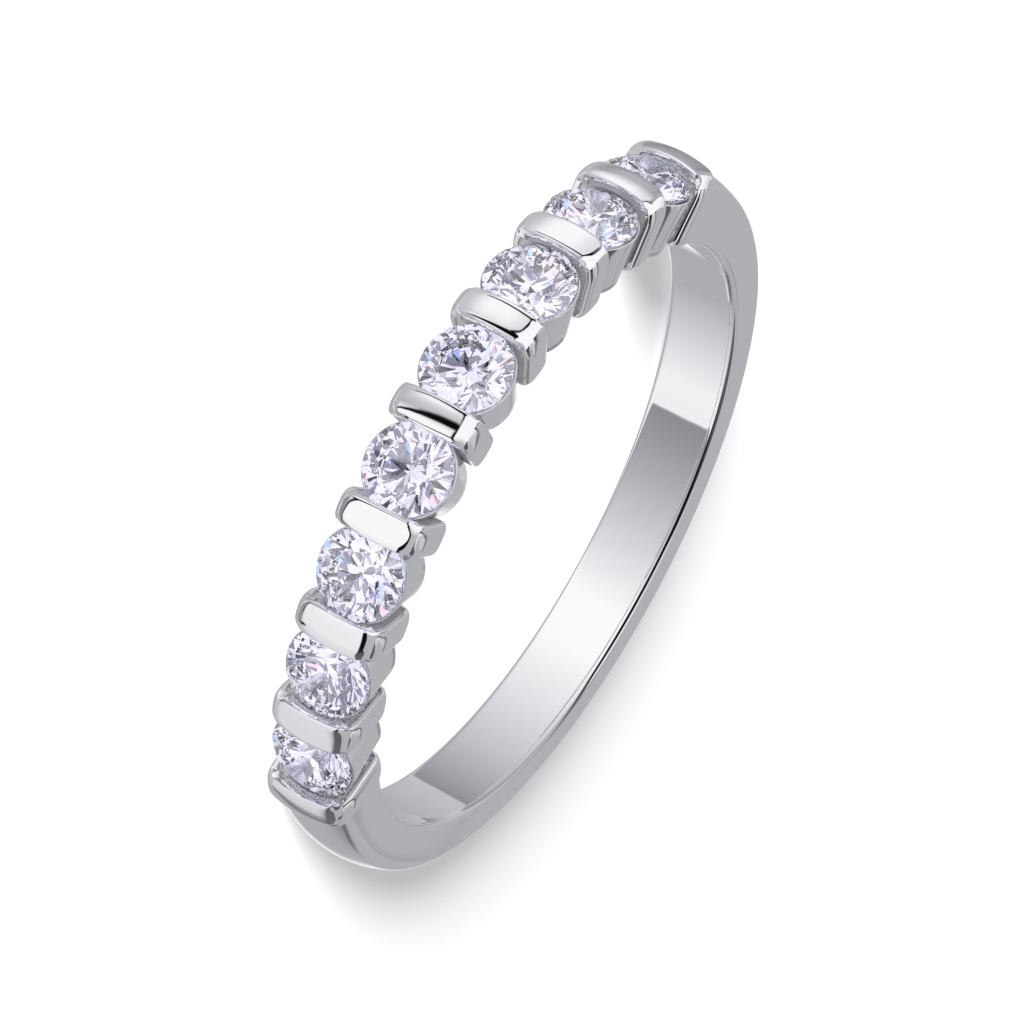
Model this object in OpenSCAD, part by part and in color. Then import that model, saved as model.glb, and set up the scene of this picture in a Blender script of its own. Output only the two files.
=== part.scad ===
// Half-eternity band lying on its side: a row of round brilliants held between polished bars.
// +Z is the finger hole's axis, and the row of stones faces -Y.
// The origin is the centre of the finger hole, half way across the band.

/* [Finger hole] */
// Radius of the finger hole
bore_r = 8.65; // [7.5:0.05:11]
// Rounding of the finger hole's rims
bore_round = 0.2; // [0.1:0.01:0.22]

/* [Shank] */
// Width of the band
band_w = 2.24; // [1.8:0.02:3]
// Thickness of the band at the back, opposite the stones, at mid width
back_t = 1.5; // [1.2:0.02:1.8]
// Extra thickness of the band's round back where it passes the hole's middle
side_extra = 0.11; // [0.05:0.01:0.3]
// Radius of the flatter arc that rises to each shoulder
shoulder_r = 12.4; // [11.5:0.1:16]
// Angle from the middle of the stones at which that arc leaves the round back
shoulder_angle = 104; // [95:1:115]
// Radius of the dome across the band's outer face
dome_r = 2.26; // [1.8:0.02:5]
// Rounding between the outer face and the side faces
outer_round = 0.24; // [0.1:0.01:0.3]

/* [Stones] */
// Number of stones in the row
stone_count = 8; // [6:1:8]
// Diameter of a stone at its girdle
stone_d = 2.36; // [2:0.02:2.5]
// Distance between neighbouring stones, centre to centre
stone_pitch = 2.86; // [2.8:0.01:3]
// Height of the girdles over the finger hole's wall
girdle_h = 1.7; // [1.6:0.05:2]
// Thickness of a girdle
girdle_t = 0.09; // [0.06:0.01:0.12]
// Gap between a stone and the metal round it
seat_gap = 0.03; // [0.02:0.01:0.05]

/* [Bars] */
// Height of the bars over the finger hole's wall, at mid width
bar_h = 2.32; // [2.15:0.01:2.45]
// Thickness of a bar, along the row
bar_t = 0.88; // [0.8:0.01:1]
// Width of a bar at its top
bar_w = 2.36; // [2.2:0.02:2.6]
// Swell of a bar's ends below its top, on each side
bar_swell = 0.06; // [0.02:0.01:0.1]
// Height of that swell, as a share of the bar's height
swell_share = 0.67; // [0.6:0.01:0.7]
// Width of an inner bar at the finger hole
bar_foot_w = 2.1; // [1.9:0.02:2.3]
// Rounding of the two top corners of a bar
bar_corner = 0.4; // [0.2:0.01:0.5]
// Rounding of the two long top edges of a bar
bar_edge = 0.12; // [0.08:0.01:0.2]
// Rounding of the upright edges at a bar's ends
bar_end = 0.28; // [0.1:0.01:0.35]
// Radius of the gentle dome along a bar's top
bar_dome_r = 3.4; // [3.2:0.1:20]
// Depth of the panel cut back into a bar's flank
panel_cut = 0.09; // [0.05:0.01:0.12]
// Width of the rim left round that panel
panel_rim = 0.19; // [0.12:0.01:0.22]

/* [Cups] */
// Metal left outside a stone's girdle by the cup under it
cup_over = 0.06; // [0.04:0.01:0.1]
// Radius of a cup at the finger hole
cup_foot_r = 0.96; // [0.9:0.01:1.02]
// Depth that a cup's wall reaches into the bars beside it
cup_root = 0.16; // [0.12:0.01:0.16]

/* [Cut of the stones] */
// Table width, as a share of the girdle
table_share = 0.57; // [0.5:0.01:0.65]
// Angle of the crown's kite facets
crown_angle = 34.5; // [30:0.5:36]
// Reach of the star facets, from table to girdle
star_share = 0.5; // [0.4:0.01:0.6]
// Angle of the pavilion's main facets
pavilion_angle = 40.8; // [39:0.1:43]
// Reach of the lower half facets, from girdle to point
lower_share = 0.77; // [0.65:0.01:0.85]

/* [Hidden] */
$fn = 96;
reach = 30;
metal_tone = [0.86, 0.87, 0.88];
stone_tone = [0.93, 0.93, 0.98];

// The row: bar i stands at bar_angle(i), and stone i between bars i and i + 1
stone_r = stone_d / 2;
girdle_r = bore_r + girdle_h;
bar_r = bore_r + bar_h;
pitch_angle = 2 * asin(stone_pitch / 2 / girdle_r);
function bar_angle(i) = (stone_count / 2 + 1 - i) * pitch_angle;
function stone_angle(i) = bar_angle(i + 0.5);

// Outline of the band: a round back, and an arc that leaves it smoothly on each side
back_y = -side_extra;
back_r = bore_r + back_t + side_extra;
band_depth = 3;
shoulder_span = 70;
back_overlap = 8;
shoulder_start = shoulder_angle - 90;
shoulder_back = shoulder_r - back_r;

// Centre of the rounding between the band's dome and its side, and the point where it meets
// the dome, both from the middle of the outer face
round_z = band_w / 2 - outer_round;
round_x = sqrt(pow(dome_r - outer_round, 2) - pow(round_z, 2)) - dome_r;
meet_share = dome_r / (dome_r - outer_round);
meet_x = (round_x + dome_r) * meet_share - dome_r;
meet_z = round_z * meet_share;

// A bar stands on the hole's wall, and its foot is level with the wall under its flanks
wall_margin = 0.01;
bar_foot_r = sqrt(pow(bore_r, 2) - pow(bar_t / 2, 2)) - wall_margin;
bar_depth = 2 * bar_h;
swell_r = bore_r + swell_share * bar_h;
swell_round = 1.2;

// Length by which a solid used for crossing or cutting passes the one it works on
spare = 1;

// Heights on a stone from the rim of its girdle, and the radii of its rings of corners
eighth = 45;
half_step = eighth / 2;
quarter_step = eighth / 4;
table_r = stone_r * table_share;
crown_h = (stone_r - table_r) * tan(crown_angle);
star_edge = table_r * cos(half_step);
star_r = star_edge + (stone_r - star_edge) * star_share;
star_h = (stone_r - star_r * cos(half_step)) * tan(crown_angle);
pavilion_h = stone_r * tan(pavilion_angle);
lower_r = stone_r * (1 - lower_share);
lower_h = pavilion_h - lower_r * cos(half_step) * tan(pavilion_angle);
upper_slope = star_h / ((stone_r - star_r) * cos(quarter_step));
scallop = 2 * upper_slope * stone_r * (1 - cos(quarter_step));
corner_t = 0.002;
culet_r = 0.01;

// Rounded corner p between corners a and b: its two tangent points, and its arc's centre
function unit(v) = v / norm(v);
function corner_reach(p, a, b, r) = r / tan(acos(unit(a - p) * unit(b - p)) / 2);
function corner_ends(p, a, b, r) =
    [p + unit(a - p) * corner_reach(p, a, b, r), p + unit(b - p) * corner_reach(p, a, b, r)];
function corner_centre(p, a, b, r) =
    p + unit(unit(a - p) + unit(b - p)) * norm([r, corner_reach(p, a, b, r)]);

// Polygon of [corner, radius] rows with true arcs at its corners
module rounded_polygon(rows) {
    n = len(rows);
    ends = [for (i = [0 : n - 1])
        each corner_ends(rows[i][0], rows[(i + n - 1) % n][0], rows[(i + 1) % n][0], rows[i][1])];
    polygon(ends);
    for (i = [0 : n - 1])
        translate(corner_centre(rows[i][0], rows[(i + n - 1) % n][0], rows[(i + 1) % n][0],
                                rows[i][1]))
            circle(r = rows[i][1]);
}

// Rectangle centred on the origin with four round corners
module rounded_rectangle(w, h, r) {
    rounded_polygon([[[w, h] / 2, r], [[-w, h] / 2, r], [[-w, -h] / 2, r], [[w, -h] / 2, r]]);
}

// Stands its children on the row: their +Z points away from the finger hole's axis, their +Y
// along that axis and their +X along the row
module on_row(angle) {
    rotate([0, 0, angle]) rotate([90, 0, 0]) children();
}

// Section of the band, with the middle of its outer face at the origin and its depth along -x
module band_section() {
    half_w = band_w / 2;
    intersection() {
        translate([-dome_r, 0]) circle(r = dome_r);
        translate([meet_x, -meet_z]) square([dome_r, 2 * meet_z]);
    }
    for (side = [-1, 1])
        translate([round_x, side * round_z]) circle(r = outer_round);
    polygon([[-band_depth, -half_w], [round_x, -half_w], [meet_x, -meet_z],
             [meet_x, meet_z], [round_x, half_w], [-band_depth, half_w]]);
}

// Half of the shank: its round back, and the shoulder that rises from it and ends behind the
// panel in the last bar's flank. The two halves overlap at the back.
module half_shank() {
    difference() {
        translate([0, back_y, 0]) rotate([0, 0, shoulder_start]) {
            rotate_extrude(angle = 90 - shoulder_start + back_overlap)
                translate([back_r, 0]) band_section();
            translate([-shoulder_back, 0, 0]) mirror([0, 1, 0])
                rotate_extrude(angle = shoulder_span) translate([shoulder_r, 0]) band_section();
        }
        rotate([0, 0, bar_angle(1)])
            translate([2 * panel_cut - bar_t / 2 - reach, -reach, -reach / 2])
                cube([reach, reach, reach]);
    }
}

// Finger hole's rims, rounded where they meet the band's sides
module hole_rims() {
    rim = band_w / 2 - bore_round;
    for (side = [0, 1])
        mirror([0, 0, side]) rotate_extrude() difference() {
            translate([bore_r - bore_round, rim]) square([2 * bore_round, 2 * bore_round]);
            translate([bore_r + bore_round, rim]) circle(r = bore_round);
        }
}

module finger_hole() {
    cylinder(r = bore_r, h = reach, center = true);
}

// Outline of a bar across the band: x across, y away from the finger hole. Its top is an arc
// between the two top corners, and the corners' sides touch that arc and meet at the peak.
module bar_outline(foot_w, inset = 0) {
    top = bar_r - inset;
    half_top = bar_w / 2 - inset;
    half_swell = half_top + bar_swell;
    half_foot = foot_w / 2 - inset;
    lean = asin((half_top - bar_corner) / bar_dome_r);
    peak = top + bar_dome_r * (1 / cos(lean) - 1);
    corner = peak - half_top * tan(lean);
    intersection() {
        rounded_polygon([[[half_top, corner], bar_corner], [[0, peak], bar_corner],
                         [[-half_top, corner], bar_corner],
                         [[-half_swell, swell_r], swell_round],
                         [[-half_foot, bar_foot_r], bore_round],
                         [[half_foot, bar_foot_r], bore_round],
                         [[half_swell, swell_r], swell_round]]);
        translate([0, top - bar_dome_r]) circle(r = bar_dome_r);
    }
}

// One bar: its outline across the band, its section along the row and its plan, all crossed,
// with a panel cut back into each flank that faces a stone
module bar(angle, sides, foot_w) {
    across = bar_w + 2 * bar_swell;
    on_row(angle) difference() {
        intersection() {
            rotate([90, 0, 90]) linear_extrude(height = bar_t, center = true)
                bar_outline(foot_w);
            translate([0, 0, bar_r - bar_depth / 2]) rotate([90, 0, 0])
                linear_extrude(height = across + spare, center = true)
                    rounded_rectangle(bar_t, bar_depth, bar_edge);
            translate([0, 0, bar_r - bar_depth]) linear_extrude(height = bar_depth + spare)
                rounded_rectangle(bar_t, across, bar_end);
        }
        for (side = sides)
            translate([side * bar_t / 2, 0, 0]) rotate([90, 0, 90])
                linear_extrude(height = 2 * panel_cut, center = true)
                    bar_outline(foot_w, panel_rim);
    }
}

// Cup under a stone: a tapering post between two bars, that the seat is cut into
module cup(angle) {
    top = girdle_r - girdle_t / 2 - seat_gap;
    foot = bore_r - 2 * bore_round;
    taper = (stone_r + cup_over - cup_foot_r) / (top - bore_r);
    along = stone_pitch - bar_t + 2 * cup_root;
    on_row(angle) translate([0, 0, foot]) intersection() {
        cylinder(r1 = cup_foot_r - taper * (bore_r - foot), r2 = stone_r + cup_over, h = top - foot);
        translate([-along / 2, -stone_d, 0]) cube([along, 2 * stone_d, top - foot]);
    }
}

// Space that a stone and the gap round it take, as plain cones outside its facets
module seat(angle) {
    half = girdle_t / 2 + seat_gap;
    round_r = stone_r + seat_gap;
    top_r = table_r + seat_gap;
    on_row(angle) translate([0, 0, girdle_r]) rotate_extrude()
        polygon([[0, -half - pavilion_h], [round_r, -half], [round_r, half],
                 [top_r, half + crown_h], [0, half + crown_h]]);
}

module ring_band() {
    last = stone_count + 1;
    color(metal_tone) difference() {
        union() {
            difference() {
                union() {
                    half_shank();
                    mirror([1, 0, 0]) half_shank();
                }
                hole_rims();
            }
            bar(bar_angle(1), [-1], band_w);
            bar(bar_angle(last), [1], band_w);
            for (i = [2 : last - 1])
                bar(bar_angle(i), [-1, 1], bar_foot_w);
            for (i = [1 : stone_count])
                cup(stone_angle(i));
        }
        finger_hole();
        for (i = [1 : stone_count])
            seat(stone_angle(i));
    }
}

// Thin slice of a stone through a ring of its corners
module corner_ring(r, h, sides, turn = 0, t = corner_t) {
    translate([0, 0, h]) rotate([0, 0, turn]) cylinder(r = r, h = t, center = true, $fn = sides);
}

// Round brilliant in place i: eight-fold, with star, kite and half facets
module stone(i) {
    half = girdle_t / 2;
    color(stone_tone) on_row(stone_angle(i)) translate([0, 0, girdle_r]) hull() {
        corner_ring(table_r, half + crown_h, 8);
        corner_ring(star_r, half + star_h, 8, half_step);
        corner_ring(stone_r, 0, 16, 0, girdle_t);
        corner_ring(stone_r, 0, 32, 0, girdle_t - scallop);
        corner_ring(lower_r, -half - lower_h, 8, half_step);
        corner_ring(culet_r, -half - pavilion_h, 8);
    }
}

ring_band();
stone(1);  // stone_1
stone(2);  // stone_2
stone(3);  // stone_3
stone(4);  // stone_4
stone(5);  // stone_5
stone(6);  // stone_6
stone(7);  // stone_7
stone(8);  // stone_8
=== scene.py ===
"""Half-eternity ring lying on its side: the looks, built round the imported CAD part.

Sizes are in millimetres, as in the ring's drawing, and become metres when a mesh is made.
The row frame has +Z along the finger hole's axis and the row of stones facing -Y. Local
coordinates on the row are (along the row, across the band, away from the finger hole).
"""

import logging
import math
from dataclasses import dataclass
from enum import Enum
from typing import Iterable, Sequence

import bpy
import numpy as np
from mathutils import Matrix, Vector

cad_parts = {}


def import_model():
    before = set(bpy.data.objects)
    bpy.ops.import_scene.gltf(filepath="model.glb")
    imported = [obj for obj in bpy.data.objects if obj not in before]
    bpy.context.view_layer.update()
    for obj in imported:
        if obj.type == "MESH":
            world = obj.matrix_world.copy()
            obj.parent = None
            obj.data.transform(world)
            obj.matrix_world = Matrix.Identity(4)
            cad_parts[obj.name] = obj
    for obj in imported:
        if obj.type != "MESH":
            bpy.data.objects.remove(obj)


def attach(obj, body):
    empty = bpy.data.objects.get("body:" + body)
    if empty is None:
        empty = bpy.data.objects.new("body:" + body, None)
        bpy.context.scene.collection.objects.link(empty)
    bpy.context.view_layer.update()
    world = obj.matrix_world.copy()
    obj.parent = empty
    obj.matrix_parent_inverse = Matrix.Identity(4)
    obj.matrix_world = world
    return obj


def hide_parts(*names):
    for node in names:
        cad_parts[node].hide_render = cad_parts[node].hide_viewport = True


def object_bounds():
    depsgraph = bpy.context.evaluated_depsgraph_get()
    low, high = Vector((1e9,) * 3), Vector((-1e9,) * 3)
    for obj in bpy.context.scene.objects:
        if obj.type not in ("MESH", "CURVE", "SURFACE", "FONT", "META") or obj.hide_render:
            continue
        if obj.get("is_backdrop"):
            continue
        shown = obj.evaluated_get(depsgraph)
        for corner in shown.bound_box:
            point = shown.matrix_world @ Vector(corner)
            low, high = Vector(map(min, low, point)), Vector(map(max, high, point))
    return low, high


LOG = logging.getLogger("ring")
Array = np.ndarray
Colour = tuple[float, float, float]
Pairs = tuple[tuple[float, float], ...]

# One millimetre in metres
MM = 0.001
# How far a light card leans in red, green and blue as it darkens
COOL = (-0.05, -0.015, 0.06)
# Bars whose panels keep a coarse grain
GRAINED_BARS = (1, 2, 9)
# Times that light may be turned in all, and by stones or polished metal alone
LIGHT_TURNS = 24
CLEAR_TURNS = 20


class Slot(Enum):
    """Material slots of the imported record."""

    METAL = "white_metal"
    STONE = "clear_stone"


@dataclass(frozen=True)
class RingSizes:
    """Sizes of the ring that several of its parts share."""

    bore_r: float = 8.65
    bore_round: float = 0.2
    band_w: float = 2.24
    back_t: float = 1.5
    side_extra: float = 0.11
    shoulder_r: float = 12.4
    shoulder_start: float = 14.0
    dome_r: float = 2.26
    outer_round: float = 0.24
    stone_count: int = 8
    stone_d: float = 2.36
    stone_pitch: float = 2.86
    girdle_h: float = 1.7
    girdle_t: float = 0.09
    seat_gap: float = 0.03
    bar_h: float = 2.32
    bar_t: float = 0.88
    crown_angle: float = 34.5
    pavilion_angle: float = 40.8

    @property
    def girdle_r(self) -> float:
        """Distance of the girdles from the finger hole's axis."""
        return self.bore_r + self.girdle_h

    @property
    def bar_r(self) -> float:
        """Distance of the bars' tops from the finger hole's axis."""
        return self.bore_r + self.bar_h

    @property
    def pitch_angle(self) -> float:
        """Angle between neighbouring stones, in degrees."""
        return 2 * math.degrees(math.asin(self.stone_pitch / 2 / self.girdle_r))

    def bar_angle(self, i: int) -> float:
        """Angle of bar i, counted from 1, in degrees."""
        return (self.stone_count / 2 + 1 - i) * self.pitch_angle

    def stone_angle(self, i: int) -> float:
        """Angle of stone i, counted from 1, in degrees."""
        return self.bar_angle(i + 0.5)


# Shapes from arrays


def smooth(x: Array) -> Array:
    """Smooth step: 3x^2 - 2x^3 with x held between 0 and 1.

    Args:
        x: places on the step.

    Returns:
        The step's height at each place.
    """
    x = np.clip(x, 0.0, 1.0)
    return x * x * (3 - 2 * x)


def unit(v: Array) -> Array:
    """Directions of vectors: each is divided by its length.

    Args:
        v: vectors along the last axis.

    Returns:
        The same vectors, made one long.
    """
    return v / np.linalg.norm(v, axis=-1, keepdims=True)


def rounded_outline(
    corners: Sequence[Sequence[float]],
    radii: Sequence[float],
    arc_steps: int,
    side_shares: Sequence[float],
) -> tuple[Array, Array]:
    """Closed outline of a convex polygon with an arc at each corner.

    Each arc touches the two sides beside its corner: its centre lies on the corner's
    bisector at radius / sin(half the corner's angle), and its points turn evenly from one
    side's normal to the other's.

    Args:
        corners: corners in anticlockwise order.
        radii: radius of the arc at each corner.
        arc_steps: points on each arc, ends included.
        side_shares: places of the points on each straight side, from 0 to 1.

    Returns:
        The points and their outward normals, one row each.
    """
    p = np.asarray(corners, float)
    r = np.asarray(radii, float)[:, None]
    to_last = unit(np.roll(p, 1, 0) - p)
    to_next = unit(np.roll(p, -1, 0) - p)
    half = np.arccos(np.sum(to_last * to_next, 1, keepdims=True)) / 2
    centre = p + unit(to_last + to_next) * r / np.sin(half)
    first = p + to_last * r / np.tan(half) - centre
    start = np.arctan2(first[:, 1], first[:, 0])[:, None]
    angle = start + (math.pi - 2 * half) * np.linspace(0, 1, arc_steps)[None, :]
    normal = np.stack([np.cos(angle), np.sin(angle)], -1)
    arcs = centre[:, None, :] + r[:, None, :] * normal
    share = np.asarray(side_shares, float)[None, :, None]
    begin = arcs[:, -1:, :]
    end = np.roll(arcs[:, :1, :], -1, 0)
    sides = begin * (1 - share) + end * share
    side_normal = np.repeat(normal[:, -1:, :], share.shape[1], 1)
    points = np.concatenate([arcs, sides], 1).reshape(-1, 2)
    normals = np.concatenate([normal, side_normal], 1).reshape(-1, 2)
    return points, normals


def evened(points: Array, count: int, blend: float) -> tuple[Array, Array]:
    """Closed outline with even steps and gently changing curvature.

    The outline is resampled at even lengths and blurred along its length by a Gaussian:
    each of its Fourier terms k is scaled by exp(-(2 pi k blend / length)^2 / 2). The
    outward normal is the tangent turned clockwise by a quarter turn.

    Args:
        points: points of the outline, anticlockwise.
        count: number of points wanted.
        blend: spread of the blur, in millimetres.

    Returns:
        The new points and their outward normals, one row each.
    """
    closed = np.concatenate([points, points[:1]], 0)
    length = np.concatenate([[0.0], np.cumsum(np.linalg.norm(np.diff(closed, axis=0), axis=1))])
    at = np.linspace(0, length[-1], count, endpoint=False)
    place = np.interp(at, length, closed[:, 0]) + 1j * np.interp(at, length, closed[:, 1])
    wave = 2 * math.pi * np.fft.fftfreq(count, length[-1] / count)
    terms = np.fft.fft(place) * np.exp(-((wave * blend) ** 2) / 2)
    place = np.fft.ifft(terms)
    normal = np.fft.ifft(terms * 1j * wave) / 1j
    normal = normal / np.abs(normal)
    return np.stack([place.real, place.imag], -1), np.stack([normal.real, normal.imag], -1)


def arc_points(
    centre: tuple[float, float], radius: float, start: float, stop: float, steps: int
) -> Array:
    """Points on an arc: centre + radius * (cos a, sin a) for evenly spaced angles a.

    Args:
        centre: centre of the arc.
        radius: its radius.
        start: first angle, in degrees.
        stop: last angle, in degrees.
        steps: number of points, both ends included.

    Returns:
        The points, one row each.
    """
    a = np.radians(np.linspace(start, stop, steps))
    return np.stack([centre[0] + radius * np.cos(a), centre[1] + radius * np.sin(a)], -1)


def on_row(points: Array, angle: float) -> Array:
    """Place a shape on the row.

    (along, across, out) goes to (along, -out, across), turned about the finger hole's axis.

    Args:
        points: local coordinates, with out counted from the finger hole's axis.
        angle: place on the row, in degrees from its middle.

    Returns:
        The points in the row frame.
    """
    c, s = math.cos(math.radians(angle)), math.sin(math.radians(angle))
    along, across, out = points[..., 0], points[..., 1], points[..., 2]
    return np.stack([c * along + s * out, s * along - c * out, across], -1)


@dataclass
class Loft:
    """Closed skin over a stack of closed loops, with a point at each end.

    Attributes:
        loops: array of (loop, point on the loop, xyz).
        poles: the two end points, xyz each.
        slots: material index of the quad from each loop and point to the next ones.
    """

    loops: Array
    poles: tuple[Array, Array]
    slots: Array | None = None

    def build(self, name: str, materials: Sequence[bpy.types.Material]) -> bpy.types.Object:
        """Make the mesh object.

        Quads join point s of loop j to point s + 1 and to loop j + 1, and triangle fans
        join the first and last loop to their poles. A negative enclosed volume means that
        the skin is inside out, and then every face is turned.

        Args:
            name: object's name.
            materials: materials in the order of the slots' numbers.

        Returns:
            The new object, in metres, with its place in its mesh.
        """
        n_loops, n_points, _ = self.loops.shape
        points = np.concatenate([self.loops.reshape(-1, 3), np.asarray(self.poles)], 0)
        index = np.arange(n_loops * n_points).reshape(n_loops, n_points)
        right = np.roll(index, -1, 1)
        quads = np.stack([index[:-1], right[:-1], right[1:], index[1:]], -1).reshape(-1, 4)
        first, last = n_loops * n_points, n_loops * n_points + 1
        fan_a = np.stack([np.full(n_points, first), right[0], index[0]], -1)
        fan_b = np.stack([np.full(n_points, last), index[-1], right[-1]], -1)
        fans = np.concatenate([fan_a, fan_b], 0)
        triangles = np.concatenate([quads[:, [0, 1, 2]], quads[:, [0, 2, 3]], fans], 0)
        a, b, c = (points[triangles[:, k]] for k in range(3))
        if np.sum(a * np.cross(b, c)) < 0:
            quads, fans = quads[:, ::-1], fans[:, ::-1]
        slots = np.zeros((n_loops - 1, n_points), int) if self.slots is None else self.slots
        face_slots = np.concatenate([slots.ravel(), slots[0], slots[-1]])
        return mesh_object(name, points, [quads, fans], materials, face_slots, smooth_faces=True)


def mesh_object(
    name: str,
    points: Array,
    faces: Iterable[Array],
    materials: Sequence[bpy.types.Material],
    face_slots: Array | None = None,
    smooth_faces: bool = False,
) -> bpy.types.Object:
    """Make a mesh object from arrays.

    Args:
        name: object's name.
        points: vertices, in millimetres.
        faces: arrays of faces, each with the same number of corners.
        materials: materials in the order of the slots' numbers.
        face_slots: material index of each face, in the faces' order.
        smooth_faces: whether the faces are shaded smooth.

    Returns:
        The new object, linked to the scene.
    """
    tables = [np.asarray(f, np.int32) for f in faces]
    corners = np.concatenate([f.ravel() for f in tables])
    sizes = np.concatenate([np.full(len(f), f.shape[1], np.int32) for f in tables])
    starts = np.concatenate([[0], np.cumsum(sizes)[:-1]]).astype(np.int32)
    mesh = bpy.data.meshes.new(name)
    mesh.vertices.add(len(points))
    mesh.vertices.foreach_set("co", (np.asarray(points) * MM).astype(np.float32).ravel())
    mesh.loops.add(len(corners))
    mesh.loops.foreach_set("vertex_index", corners)
    mesh.polygons.add(len(sizes))
    mesh.polygons.foreach_set("loop_start", starts)
    mesh.polygons.foreach_set("loop_total", sizes)
    mesh.polygons.foreach_set("use_smooth", np.full(len(sizes), smooth_faces))
    for material in materials:
        mesh.materials.append(material)
    if face_slots is not None:
        mesh.polygons.foreach_set("material_index", face_slots.astype(np.int32))
    mesh.update(calc_edges=True)
    mesh.validate()
    obj = bpy.data.objects.new(name, mesh)
    bpy.context.scene.collection.objects.link(obj)
    return obj


# Finishes


def set_inputs(node: bpy.types.Node, values: dict[str, float | tuple[float, ...]]) -> None:
    """Set constants on a node's own sockets.

    Args:
        node: the node.
        values: value for each socket's name.
    """
    for name, value in values.items():
        node.inputs[name].default_value = value


def new_finish(
    name: str, tone: Colour, values: dict[str, float | tuple[float, ...]]
) -> tuple[bpy.types.Material, bpy.types.Node]:
    """Make a material of one colour.

    Args:
        name: material's name.
        tone: its colour.
        values: values for the shader's other sockets.

    Returns:
        The material and its shader.
    """
    mat = bpy.data.materials.new(name)
    mat.use_nodes = True
    shader = mat.node_tree.nodes["Principled BSDF"]
    set_inputs(shader, {"Base Color": (*tone, 1), **values})
    return mat, shader


def add_relief(
    mat: bpy.types.Material, pattern: bpy.types.Node, output: str, depth: float
) -> None:
    """Lay a pattern over the piece and let it raise the surface.

    Args:
        mat: material to add to.
        pattern: texture that is read at the piece's own coordinates.
        output: name of the pattern's output that gives the height.
        depth: height of the relief, in metres.
    """
    tree = mat.node_tree
    place = tree.nodes.new("ShaderNodeTexCoord")
    tree.links.new(place.outputs["Object"], pattern.inputs["Vector"])
    bump = tree.nodes.new("ShaderNodeBump")
    set_inputs(bump, {"Strength": 1.0, "Distance": depth})
    tree.links.new(pattern.outputs[output], bump.inputs["Height"])
    shader = tree.nodes["Principled BSDF"]
    tree.links.new(bump.outputs["Normal"], shader.inputs["Normal"])


@dataclass(frozen=True)
class PolishedMetal:
    """White metal with the faint waves and the uneven polish that hand work leaves.

    `haze` is the roughness where the polish is weakest, and `spread` holds the two values
    of the waves' pattern between which the polish changes.
    """

    name: str = "polished_white_metal"
    tone: Colour = (0.93, 0.935, 0.95)
    roughness: float = 0.035
    haze: float = 0.05
    spread: tuple[float, float] = (0.35, 0.75)
    wave_scale: float = 700.0
    wave_height: float = 0.000006

    def build(self) -> bpy.types.Material:
        """Make the material.

        Returns:
            The material.
        """
        mat, shader = new_finish(self.name, self.tone, {"Metallic": 1.0})
        tree = mat.node_tree
        waves = tree.nodes.new("ShaderNodeTexNoise")
        set_inputs(waves, {"Scale": self.wave_scale, "Detail": 1.0})
        polish = tree.nodes.new("ShaderNodeMapRange")
        start, stop = self.spread
        set_inputs(
            polish,
            {"From Min": start, "From Max": stop, "To Min": self.roughness, "To Max": self.haze},
        )
        tree.links.new(waves.outputs["Fac"], polish.inputs["Value"])
        tree.links.new(polish.outputs["Result"], shader.inputs["Roughness"])
        add_relief(mat, waves, "Fac", self.wave_height)
        return mat


@dataclass(frozen=True)
class CutPanel:
    """Metal as the graver leaves it beside the stones, satin or with a coarse bright grain."""

    name: str = "cut_panel_white_metal"
    tone: Colour = (0.86, 0.87, 0.88)
    metallic: float = 0.35
    roughness: float = 0.42
    grain_scale: float = 5200.0
    grain_depth: float = 0.000012

    def build(self) -> bpy.types.Material:
        """Make the material.

        Returns:
            The material.
        """
        values = {"Metallic": self.metallic, "Roughness": self.roughness}
        mat, _ = new_finish(self.name, self.tone, values)
        grain = mat.node_tree.nodes.new("ShaderNodeTexVoronoi")
        set_inputs(grain, {"Scale": self.grain_scale})
        add_relief(mat, grain, "Distance", self.grain_depth)
        return mat


@dataclass(frozen=True)
class CutStone:
    """Clear stone with a faint lavender cast."""

    name: str = "clear_cut_stone"
    tone: Colour = (0.96, 0.955, 1.0)
    ior: float = 2.3

    def build(self) -> bpy.types.Material:
        """Make the material.

        Returns:
            The material.
        """
        values = {"Roughness": 0.0, "IOR": self.ior, "Transmission Weight": 1.0}
        return new_finish(self.name, self.tone, values)[0]


# Parts of the ring


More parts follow.
